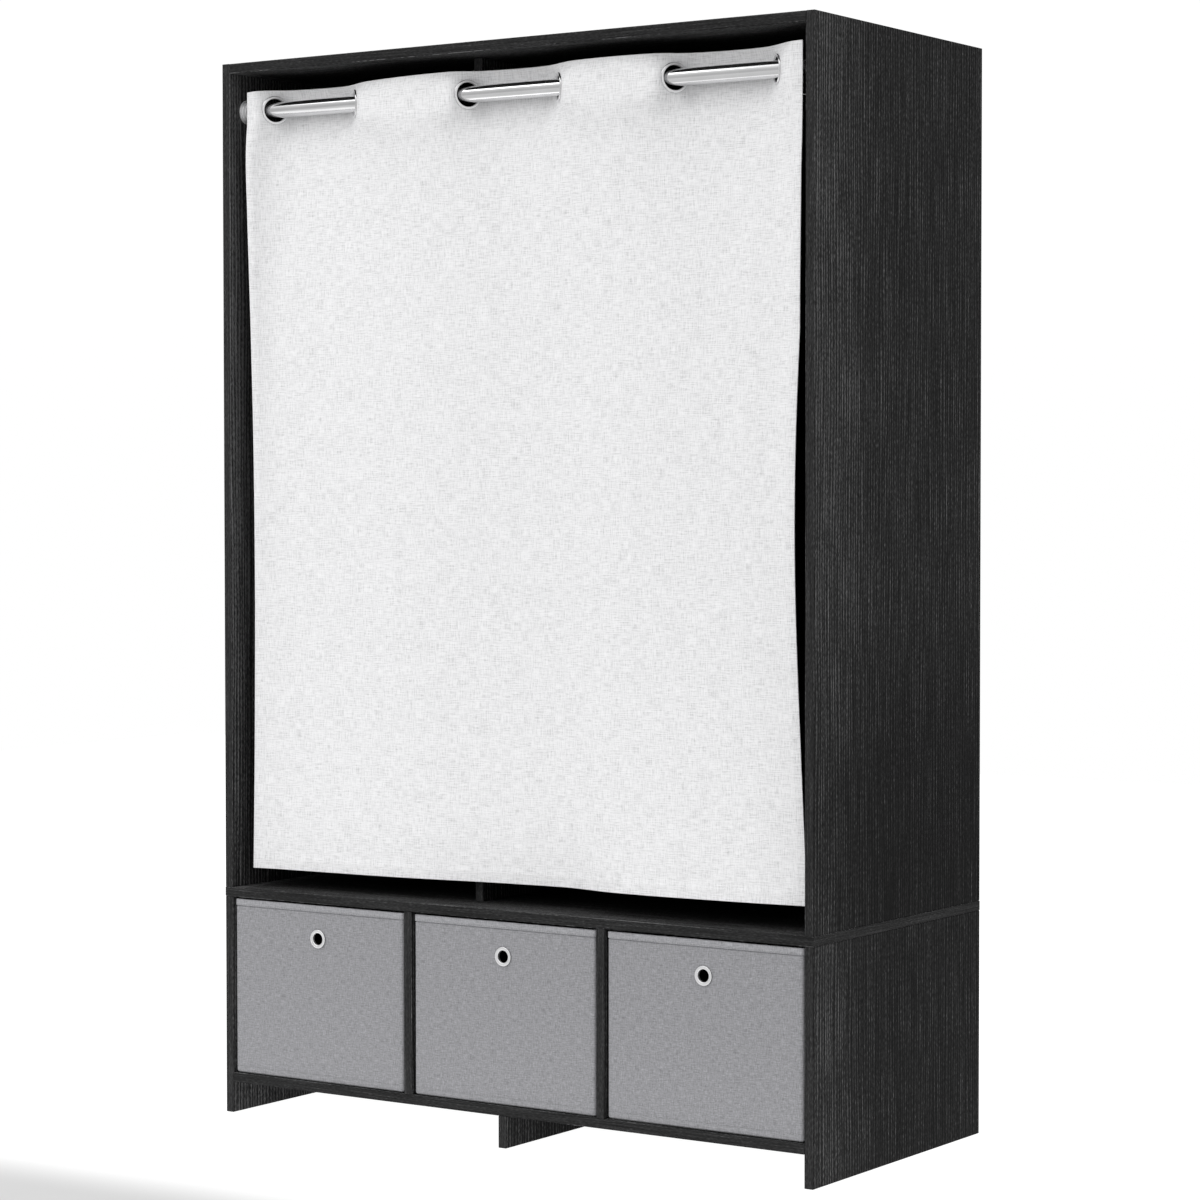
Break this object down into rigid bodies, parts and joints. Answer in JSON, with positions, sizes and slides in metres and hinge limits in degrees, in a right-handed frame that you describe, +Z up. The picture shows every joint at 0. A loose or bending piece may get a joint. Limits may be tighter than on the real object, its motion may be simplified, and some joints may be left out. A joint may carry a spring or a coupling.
{
  "type": "curtain wardrobe",
  "caption": "Tall wooden wardrobe with a linen curtain hung by eyelets on a chrome rod, above a row of pull-out fabric bins on low feet.",
  "frame": {"origin": "on the floor, below the middle of the carcass", "axes": "+Z up, +X to the viewer's right when facing the curtain, the front faces -Y"},
  "size_m": [1.075, 0.5, 1.65],
  "materials": {
    "black_oak_foil": "black oak grain foil, satin",
    "backing_board": "thin dark hardboard, matt",
    "chrome": "polished",
    "linen": "off-white slub linen weave",
    "grey_weave": "heather grey woven fabric",
    "base_fibreboard": "bare fibreboard",
    "ring_nickel": "bright nickel",
    "pin_steel": "zinc plated"
  },
  "bodies": {
    "carcass": {"lower_side_left": "black_oak_foil", "lower_side_right": "black_oak_foil", "bottom_board": "black_oak_foil", "centre_foot": "black_oak_foil", "bay_divider_1": "black_oak_foil", "bay_divider_2": "black_oak_foil", "middle_board": "black_oak_foil", "upper_side_left": "black_oak_foil", "upper_side_right": "black_oak_foil", "top_board": "black_oak_foil", "inner_divider": "black_oak_foil", "shelf_1": "black_oak_foil", "shelf_2": "black_oak_foil", "shelf_3": "black_oak_foil", "lower_back_panel": "backing_board", "upper_back_left": "backing_board", "upper_back_right": "backing_board", "curtain_rod": "chrome", "rod_socket_left": "chrome", "rod_socket_right": "chrome", "hanging_rail": "chrome", "rail_socket_left": "chrome", "rail_socket_right": "chrome", "shelf_1_pin_a1": "pin_steel", "shelf_1_pin_a2": "pin_steel", "shelf_1_pin_b1": "pin_steel", "shelf_1_pin_b2": "pin_steel", "shelf_2_pin_a1": "pin_steel", "shelf_2_pin_a2": "pin_steel", "shelf_2_pin_b1": "pin_steel", "shelf_2_pin_b2": "pin_steel", "shelf_3_pin_a1": "pin_steel", "shelf_3_pin_a2": "pin_steel", "shelf_3_pin_b1": "pin_steel", "shelf_3_pin_b2": "pin_steel"},
    "curtain_lead": {"curtain_eyelet_1": "chrome", "curtain_cloth": "linen"},
    "curtain_ring_2": {"curtain_eyelet_2": "chrome"},
    "curtain_ring_3": {"curtain_eyelet_3": "chrome"},
    "curtain_ring_4": {"curtain_eyelet_4": "chrome"},
    "curtain_ring_5": {"curtain_eyelet_5": "chrome"},
    "curtain_ring_6": {"curtain_eyelet_6": "chrome"},
    "bin_left": {"bin_left_shell": "grey_weave", "bin_left_base_board": "base_fibreboard", "bin_left_pull_ring": "ring_nickel"},
    "bin_middle": {"bin_middle_shell": "grey_weave", "bin_middle_base_board": "base_fibreboard", "bin_middle_pull_ring": "ring_nickel"},
    "bin_right": {"bin_right_shell": "grey_weave", "bin_right_base_board": "base_fibreboard", "bin_right_pull_ring": "ring_nickel"}
  },
  "joints": [
    {"name": "curtain_draw", "type": "slide", "parent": "carcass", "child": "curtain_lead", "axis": [1, 0, 0], "range_m": [0, 0.68], "deforming": ["curtain_cloth"]},
    {"name": "eyelet_2_slide", "type": "slide", "parent": "carcass", "child": "curtain_ring_2", "axis": [1, 0, 0], "range_m": [0, 0.568]},
    {"name": "eyelet_3_slide", "type": "slide", "parent": "carcass", "child": "curtain_ring_3", "axis": [1, 0, 0], "range_m": [0, 0.4185]},
    {"name": "eyelet_4_slide", "type": "slide", "parent": "carcass", "child": "curtain_ring_4", "axis": [1, 0, 0], "range_m": [0, 0.3007]},
    {"name": "eyelet_5_slide", "type": "slide", "parent": "carcass", "child": "curtain_ring_5", "axis": [1, 0, 0], "range_m": [0, 0.1594]},
    {"name": "eyelet_6_slide", "type": "slide", "parent": "carcass", "child": "curtain_ring_6", "axis": [1, 0, 0], "range_m": [0, 0.0377]},
    {"name": "bin_left_pull", "type": "slide", "parent": "carcass", "child": "bin_left", "axis": [0, -1, 0], "range_m": [0, 0.38]},
    {"name": "bin_middle_pull", "type": "slide", "parent": "carcass", "child": "bin_middle", "axis": [0, -1, 0], "range_m": [0, 0.38]},
    {"name": "bin_right_pull", "type": "slide", "parent": "carcass", "child": "bin_right", "axis": [0, -1, 0], "range_m": [0, 0.38]}
  ],
  "couplings": [
    {"joint": "eyelet_2_slide", "follows": "curtain_draw", "ratio": 0.83457},
    {"joint": "eyelet_3_slide", "follows": "curtain_draw", "ratio": 0.6147},
    {"joint": "eyelet_4_slide", "follows": "curtain_draw", "ratio": 0.44141},
    {"joint": "eyelet_5_slide", "follows": "curtain_draw", "ratio": 0.23371},
    {"joint": "eyelet_6_slide", "follows": "curtain_draw", "ratio": 0.05466}
  ]
}
